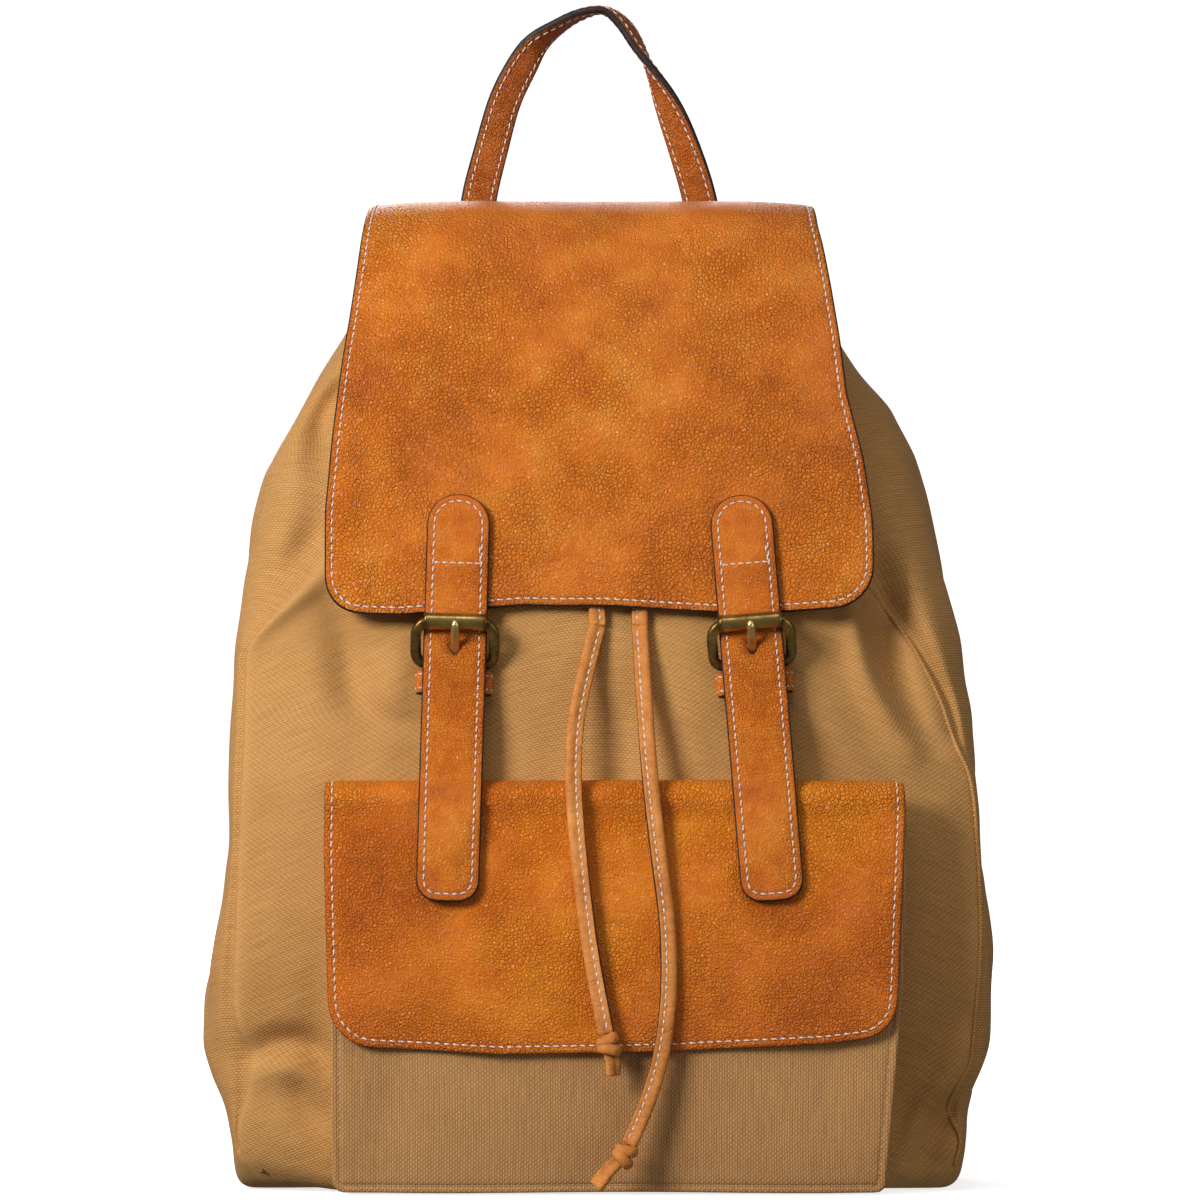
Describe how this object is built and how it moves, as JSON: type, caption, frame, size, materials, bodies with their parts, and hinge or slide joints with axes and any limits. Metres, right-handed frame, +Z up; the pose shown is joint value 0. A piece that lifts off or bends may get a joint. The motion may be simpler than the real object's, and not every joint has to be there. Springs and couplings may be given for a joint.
{
  "type": "canvas and leather backpack",
  "caption": "Backpack in tan canvas with a leather flap lid, two straps with roller buckles, front pocket with flap, drawstring, grab handle and shoulder straps.",
  "frame": {"origin": "middle of the base, on the surface that the bag stands on", "axes": "+Z up, -Y out of the front with the pocket, +Y out of the back panel, +X to the right seen from the front"},
  "size_m": [0.3162, 0.1904, 0.483],
  "materials": {
    "canvas": "waxed cotton canvas, warm tan, matt plain weave",
    "lining": "dark tan cotton lining",
    "leather": "honey tan vegetable leather, painted dark edges, off-white stitching",
    "pocket_leather": "saddle tan leather, smooth with fine grain",
    "cord_leather": "folded and stitched leather thong",
    "brass": "antique brass, darkened in the recesses",
    "board": "stiffener board in the base"
  },
  "bodies": {
    "bag": {"front_panel": "canvas", "back_panel": "canvas", "gusset_left": "canvas", "gusset_right": "canvas", "base_panel": "canvas", "base_board": "board", "lining": "lining", "mouth_hem": "canvas", "pocket_body": "canvas", "back_yoke": "leather", "lid_seam": "leather", "eyelet_left": "brass", "drawcord_upper_left": "cord_leather", "snap_socket_left": "brass", "handle_anchor_left": "leather", "shoulder_strap_left": "leather", "lower_strap_left": "leather", "strap_anchor_left": "leather", "adjuster_frame_left": "brass", "eyelet_right": "brass", "drawcord_upper_right": "cord_leather", "snap_socket_right": "brass", "handle_anchor_right": "leather", "shoulder_strap_right": "leather", "lower_strap_right": "leather", "strap_anchor_right": "leather", "adjuster_frame_right": "brass"},
    "crown": {"lid_crown": "leather"},
    "lid": {"lid_flap": "leather", "closure_strap_left": "leather", "buckle_frame_left": "brass", "buckle_chape_left": "leather", "strap_keeper_left": "leather", "snap_stud_left": "brass", "closure_strap_right": "leather", "buckle_frame_right": "brass", "buckle_chape_right": "leather", "strap_keeper_right": "leather", "snap_stud_right": "brass"},
    "pocket_cover": {"pocket_flap": "pocket_leather"},
    "handle": {"grab_handle": "leather"},
    "tail_left": {"strap_tail_left": "leather"},
    "tongue_left": {"buckle_tongue_left": "brass"},
    "roller_left": {"buckle_roller_left": "brass"},
    "cord_left": {"drawcord_tail_left": "cord_leather", "drawcord_knot_left": "cord_leather"},
    "adjuster_left": {"adjuster_tongue_left": "brass"},
    "tail_right": {"strap_tail_right": "leather"},
    "tongue_right": {"buckle_tongue_right": "brass"},
    "roller_right": {"buckle_roller_right": "brass"},
    "cord_right": {"drawcord_tail_right": "cord_leather", "drawcord_knot_right": "cord_leather"},
    "adjuster_right": {"adjuster_tongue_right": "brass"}
  },
  "joints": [
    {"name": "crown_open", "type": "hinge", "parent": "bag", "child": "crown", "pos_m": [-0.004, 0.0625, 0.394], "axis": [-1, 0, 0], "range_deg": [0, 85]},
    {"name": "lid_open", "type": "hinge", "parent": "crown", "child": "lid", "pos_m": [-0.004, 0.00083, 0.38693], "axis": [-1, 0, 0], "range_deg": [0, 145]},
    {"name": "pocket_open", "type": "hinge", "parent": "bag", "child": "pocket_cover", "pos_m": [0.0055, -0.0655, 0.1612], "axis": [-1, 0, 0], "range_deg": [0, 100]},
    {"name": "handle_fold", "type": "hinge", "parent": "bag", "child": "handle", "pos_m": [-0.004, 0.0715, 0.389], "axis": [-1, 0, 0], "range_deg": [0, 95]},
    {"name": "tail_swing_left", "type": "hinge", "parent": "lid", "child": "tail_left", "pos_m": [-0.05817, -0.06178, 0.20992], "axis": [-0.9997, 0.0054, 0.0256], "range_deg": [0, 75]},
    {"name": "tongue_lift_left", "type": "hinge", "parent": "lid", "child": "tongue_left", "pos_m": [-0.0581, -0.05656, 0.21137], "axis": [0.9997, -0.0054, -0.0256], "range_deg": [0, 8]},
    {"name": "roller_spin_left", "type": "hinge", "parent": "lid", "child": "roller_left", "pos_m": [-0.0577, -0.06287, 0.22844], "axis": [0.9997, -0.0054, -0.0256], "continuous": true},
    {"name": "cord_swing_left", "type": "hinge", "parent": "bag", "child": "cord_left", "pos_m": [-0.001, -0.0515, 0.2266], "axis": [-1, 0, 0], "range_deg": [0, 75]},
    {"name": "adjuster_lift_left", "type": "hinge", "parent": "bag", "child": "adjuster_left", "pos_m": [-0.08028, 0.0881, 0.13788], "axis": [-0.9659, 0, 0.2588], "range_deg": [0, 60]},
    {"name": "tail_swing_right", "type": "hinge", "parent": "lid", "child": "tail_right", "pos_m": [0.0614, -0.06178, 0.20993], "axis": [-0.9969, -0.0162, -0.0768], "range_deg": [0, 75]},
    {"name": "tongue_lift_right", "type": "hinge", "parent": "lid", "child": "tongue_right", "pos_m": [0.0612, -0.05656, 0.21137], "axis": [0.9969, 0.0162, 0.0768], "range_deg": [0, 8]},
    {"name": "roller_spin_right", "type": "hinge", "parent": "lid", "child": "roller_right", "pos_m": [0.05999, -0.06288, 0.2284], "axis": [0.9969, 0.0162, 0.0768], "continuous": true},
    {"name": "cord_swing_right", "type": "hinge", "parent": "bag", "child": "cord_right", "pos_m": [0.016, -0.0515, 0.2266], "axis": [-1, 0, 0], "range_deg": [0, 75]},
    {"name": "adjuster_lift_right", "type": "hinge", "parent": "bag", "child": "adjuster_right", "pos_m": [0.08028, 0.0881, 0.13788], "axis": [-0.9659, 0, -0.2588], "range_deg": [0, 60]}
  ],
  "couplings": [
    {"joint": "tail_swing_left", "follows": "pocket_open", "ratio": 0.75},
    {"joint": "cord_swing_left", "follows": "pocket_open", "ratio": 0.75},
    {"joint": "tail_swing_right", "follows": "pocket_open", "ratio": 0.75},
    {"joint": "cord_swing_right", "follows": "pocket_open", "ratio": 0.75}
  ]
}
